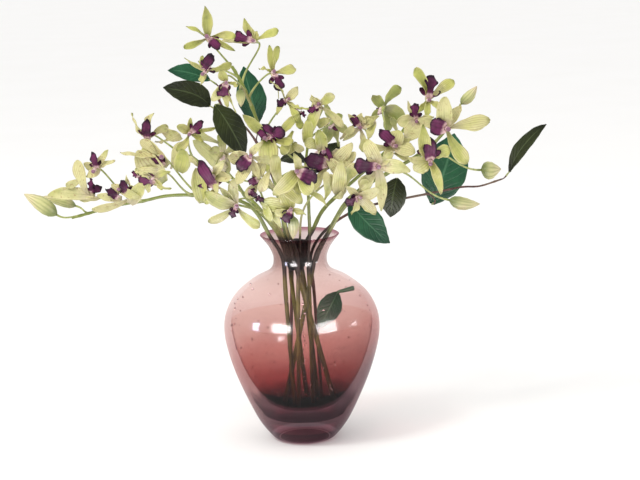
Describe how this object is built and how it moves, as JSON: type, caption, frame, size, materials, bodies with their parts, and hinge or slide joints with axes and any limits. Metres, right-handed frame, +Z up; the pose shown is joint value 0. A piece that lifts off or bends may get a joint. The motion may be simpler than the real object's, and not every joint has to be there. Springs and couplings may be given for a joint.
{
  "type": "orchid sprays in a glass vase",
  "caption": "Cut dendrobium orchid sprays and leafy twigs standing in water in a narrow-necked plum glass vase.",
  "frame": {"origin": "centre of the flat foot of the vase, on the surface it stands on", "axes": "+Z up the vase, -Y towards the viewer of the picture, +X to that viewer's right"},
  "size_m": [0.5046, 0.1707, 0.4264],
  "materials": {
    "plum_glass": "gloss",
    "water": "gloss",
    "green_stem": "satin",
    "brown_twig": "matte",
    "petal": "matte",
    "bud": "matte",
    "leaf": "satin"
  },
  "bodies": {
    "root": {"back_leaf": "leaf", "back_left_flower_1": "petal", "back_left_flower_2": "petal", "back_left_flower_3": "petal", "back_left_spray_stem": "green_stem", "back_right_flower_1": "petal", "back_right_flower_2": "petal", "back_right_flower_3": "petal", "back_right_flower_4": "petal", "back_right_spray_stem": "green_stem", "front_flower_1": "petal", "front_flower_2": "petal", "front_flower_3": "petal", "front_flower_4": "petal", "front_flower_5": "petal", "front_spray_stem": "green_stem", "left_flower_1": "petal", "left_flower_2": "petal", "left_flower_3": "petal", "left_flower_4": "petal", "left_leaf_1": "leaf", "left_leaf_2": "leaf", "left_leaf_3": "leaf", "left_leaf_4": "leaf", "left_leaf_5": "leaf", "left_leaf_twig": "brown_twig", "left_spray_stem": "green_stem", "left_tip_bud_1": "bud", "left_tip_bud_2": "bud", "lip_bud": "bud", "low_right_bud": "bud", "middle_flower_1": "petal", "middle_flower_2": "petal", "middle_flower_3": "petal", "middle_flower_4": "petal", "middle_spray_stem": "green_stem", "right_flower_1": "petal", "right_flower_2": "petal", "right_flower_3": "petal", "right_flower_4": "petal", "right_flower_5": "petal", "right_leaf_1": "leaf", "right_leaf_2": "leaf", "right_leaf_3": "leaf", "right_leaf_4": "leaf", "right_leaf_twig": "brown_twig", "right_spray_stem": "green_stem", "round_right_bud": "bud", "sunken_leaf": "leaf", "tall_left_bud": "bud", "tall_left_flower_1": "petal", "tall_left_flower_2": "petal", "tall_left_flower_3": "petal", "tall_left_flower_4": "petal", "tall_left_flower_5": "petal", "tall_left_flower_6": "petal", "tall_left_spray_stem": "green_stem", "top_right_bud": "bud", "vase": "plum_glass", "water": "water"}
  },
  "joints": []
}
